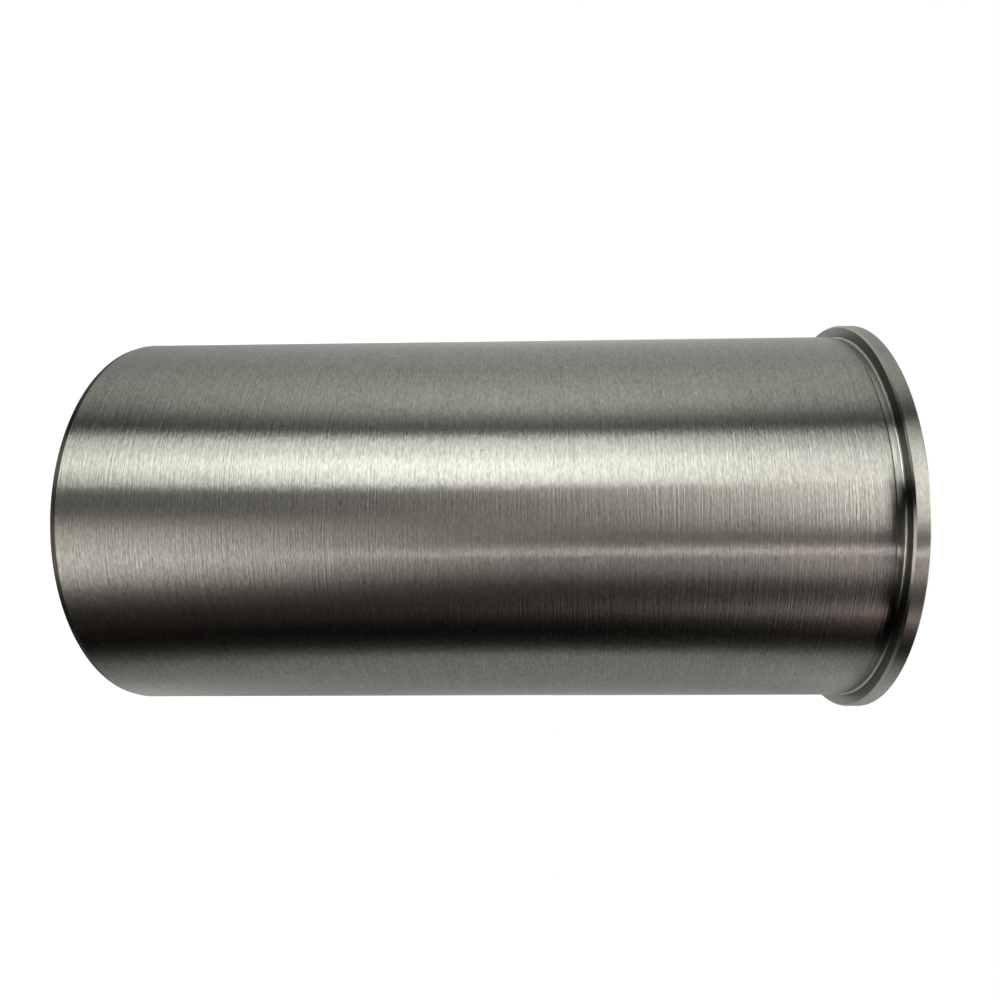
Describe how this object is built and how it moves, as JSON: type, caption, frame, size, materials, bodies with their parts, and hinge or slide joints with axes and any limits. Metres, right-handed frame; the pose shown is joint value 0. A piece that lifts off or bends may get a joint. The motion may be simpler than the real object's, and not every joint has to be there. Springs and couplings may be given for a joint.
{
  "type": "cylinder liner",
  "caption": "Thin-walled dry cylinder liner: a ground cast iron sleeve with a honed bore, a narrow locating flange and a grinding relief under it.",
  "frame": {"origin": "on the bore axis in the plane of the skirt end, which the liner stands on", "axes": "+Z along the bore axis, from the skirt end to the flange; X and Y are any pair across it, because the liner is round"},
  "size_m": [0.1122, 0.1122, 0.2045],
  "materials": {
    "ground_iron": "satin"
  },
  "bodies": {
    "root": {"cylinder_liner": "ground_iron"}
  },
  "joints": []
}
